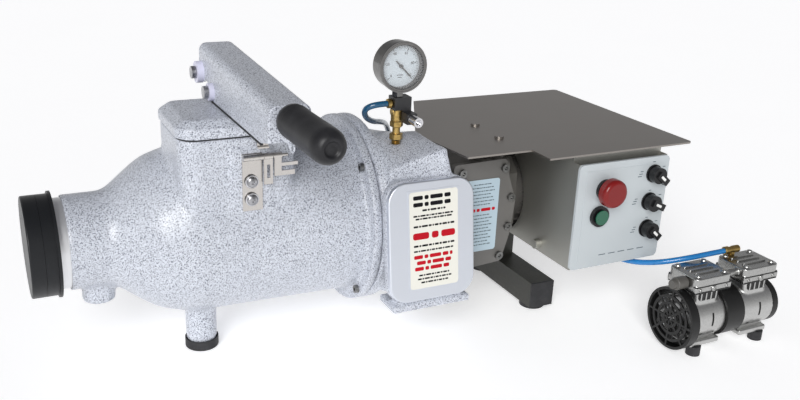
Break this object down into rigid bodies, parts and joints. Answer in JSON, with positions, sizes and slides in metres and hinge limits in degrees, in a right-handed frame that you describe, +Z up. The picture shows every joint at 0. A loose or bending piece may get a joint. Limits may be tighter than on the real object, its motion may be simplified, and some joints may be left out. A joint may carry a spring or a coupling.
{
  "type": "vacuum clay pug mill with separate vacuum pump",
  "caption": "Tabletop de-airing pug mill: speckled barrel and nozzle, lever hopper lid, vacuum chamber with gauge, gearbox, motor, control box, hose and twin-head vacuum pump.",
  "frame": {"origin": "centre of the bounding box of everything but the hose, on the surface the machine and the pump stand on", "axes": "+X along the barrel from the nozzle to the motor, -Y toward the operator, +Z up"},
  "size_m": [0.9826, 0.499, 0.4215],
  "materials": {
    "speckle_paint": "light grey hammer paint with dark speckles",
    "bare_pipe": "machined",
    "black_plastic": "satin moulded",
    "black_rubber": "moulded",
    "grip_rubber": "soft matt",
    "stainless": "brushed",
    "screw_steel": "turned",
    "white_washer": "moulded",
    "shaft_steel": "turned",
    "gear_paint": "satin dark grey",
    "motor_paint": "satin",
    "beam_paint": "textured black powder coat",
    "box_steel": "brushed sheet",
    "panel_paint": "smooth light grey",
    "stop_red": "moulded",
    "start_green": "moulded",
    "knob_black": "moulded",
    "brass": "turned",
    "gauge_steel": "polished dark",
    "gauge_glass": "clear",
    "dial_white": null,
    "needle_black": "satin",
    "manifold_black": "satin",
    "chrome_valve": "polished",
    "hose_blue": "polyurethane",
    "cover_plate": "satin",
    "pump_cast": "cast",
    "pump_black": "satin"
  },
  "bodies": {
    "machine": {"barrel_casting": "speckle_paint", "hopper_neck": "speckle_paint", "nozzle_pipe": "bare_pipe", "nozzle_adaptor": "black_plastic", "rubber_feet": "black_rubber", "hopper_gasket": "black_rubber", "hinge_bracket": "speckle_paint", "hinge_bolt": "screw_steel", "latch_base": "stainless", "vacuum_chamber": "speckle_paint", "cap_screws": "screw_steel", "chamber_gasket": "black_rubber", "shredder_screen": "shaft_steel", "shaft_seal": "black_rubber", "gearbox_housing": "gear_paint", "gearbox_cover": "gear_paint", "motor_adaptor": "motor_paint", "motor_body": "motor_paint", "foot_beam": "beam_paint", "top_plate": "stainless", "control_box": "box_steel", "control_panel": "panel_paint", "operator_bases": "knob_black", "gauge_case": "gauge_steel", "gauge_lens": "gauge_glass", "gauge_dial": "dial_white", "gauge_tee": "brass", "gauge_manifold": "manifold_black", "vacuum_hose": "hose_blue", "pump_housing": "pump_cast", "pump_stator": "pump_black", "pump_heads": "pump_cast", "pump_fan_guards": "pump_black", "pump_feet": "black_rubber", "pump_ports": "brass"},
    "lid": {"hopper_lid": "speckle_paint", "lever_arm": "speckle_paint", "arm_edge_seal": "black_rubber", "handle_rod": "stainless", "handle_grip": "grip_rubber", "arm_washers": "white_washer", "lid_bolt": "screw_steel", "latch_keeper": "stainless"},
    "latch_lever": {"latch_lever": "stainless"},
    "latch_hook": {"latch_hook": "stainless"},
    "nozzle_cap": {"nozzle_cap": "black_plastic"},
    "chamber_cover": {"chamber_cover": "cover_plate"},
    "auger": {"auger_shaft": "shaft_steel", "auger_blades": "shaft_steel", "output_gear": "shaft_steel"},
    "counter_shaft": {"counter_gears": "shaft_steel"},
    "motor_rotor": {"motor_rotor": "shaft_steel"},
    "stop_button": {"estop_head": "stop_red"},
    "start_button": {"start_button": "start_green"},
    "knob_top": {"knob_top": "knob_black"},
    "knob_middle": {"knob_middle": "knob_black"},
    "knob_bottom": {"knob_bottom": "knob_black"},
    "needle": {"gauge_needle": "needle_black"},
    "bleed_valve": {"bleed_valve": "chrome_valve"},
    "pump_rotor": {"pump_rotor": "shaft_steel"}
  },
  "joints": [
    {"name": "lid_hinge", "type": "hinge", "parent": "machine", "child": "lid", "pos_m": [-0.23275, 0.1385, 0.371], "axis": [-1, 0, 0], "range_deg": [0, 100]},
    {"name": "latch_lever_hinge", "type": "hinge", "parent": "machine", "child": "latch_lever", "pos_m": [-0.21575, -0.0035, 0.295], "axis": [-1, 0, 0], "range_deg": [0, 140]},
    {"name": "latch_hook_hinge", "type": "hinge", "parent": "machine", "child": "latch_hook", "pos_m": [-0.20375, -0.0035, 0.295], "axis": [-1, 0, 0], "range_deg": [0, 120]},
    {"name": "nozzle_cap_slide", "type": "slide", "parent": "machine", "child": "nozzle_cap", "axis": [-1, 0, 0], "range_m": [0, 0.15]},
    {"name": "chamber_cover_slide", "type": "slide", "parent": "machine", "child": "chamber_cover", "axis": [0, -0.9909, 0.1346], "range_m": [0, 0.12]},
    {"name": "auger_spin", "type": "hinge", "parent": "machine", "child": "auger", "pos_m": [-0.18075, 0.1025, 0.1745], "axis": [1, 0, 0], "continuous": true},
    {"name": "counter_spin", "type": "hinge", "parent": "machine", "child": "counter_shaft", "pos_m": [0.08925, 0.1445, 0.1745], "axis": [1, 0, 0], "continuous": true},
    {"name": "motor_spin", "type": "hinge", "parent": "machine", "child": "motor_rotor", "pos_m": [0.24925, 0.1025, 0.1745], "axis": [1, 0, 0], "continuous": true},
    {"name": "estop_push", "type": "slide", "parent": "machine", "child": "stop_button", "axis": [0, 1, 0], "range_m": [0, 0.006], "stiffness_N_per_m": 600},
    {"name": "start_push", "type": "slide", "parent": "machine", "child": "start_button", "axis": [0, 1, 0], "range_m": [0, 0.002], "stiffness_N_per_m": 500},
    {"name": "knob_top_turn", "type": "hinge", "parent": "machine", "child": "knob_top", "pos_m": [0.31525, -0.094, 0.242], "axis": [0, 1, 0], "range_deg": [-90, 0]},
    {"name": "knob_middle_turn", "type": "hinge", "parent": "machine", "child": "knob_middle", "pos_m": [0.31325, -0.094, 0.201], "axis": [0, 1, 0], "range_deg": [-90, 0]},
    {"name": "knob_bottom_turn", "type": "hinge", "parent": "machine", "child": "knob_bottom", "pos_m": [0.31525, -0.094, 0.16], "axis": [0, 1, 0], "range_deg": [-90, 180]},
    {"name": "needle_turn", "type": "hinge", "parent": "machine", "child": "needle", "pos_m": [-0.02575, 0.0255, 0.388], "axis": [0, 1, 0], "range_deg": [-90, 180]},
    {"name": "bleed_valve_turn", "type": "hinge", "parent": "machine", "child": "bleed_valve", "pos_m": [-0.01575, 0.0025, 0.321], "axis": [0, 1, 0], "range_deg": [0, 360]},
    {"name": "pump_spin", "type": "hinge", "parent": "machine", "child": "pump_rotor", "pos_m": [0.40525, -0.1655, 0.05], "axis": [1, 0, 0], "continuous": true}
  ],
  "couplings": [
    {"joint": "counter_spin", "follows": "auger_spin", "ratio": -3},
    {"joint": "motor_spin", "follows": "auger_spin", "ratio": 9}
  ]
}
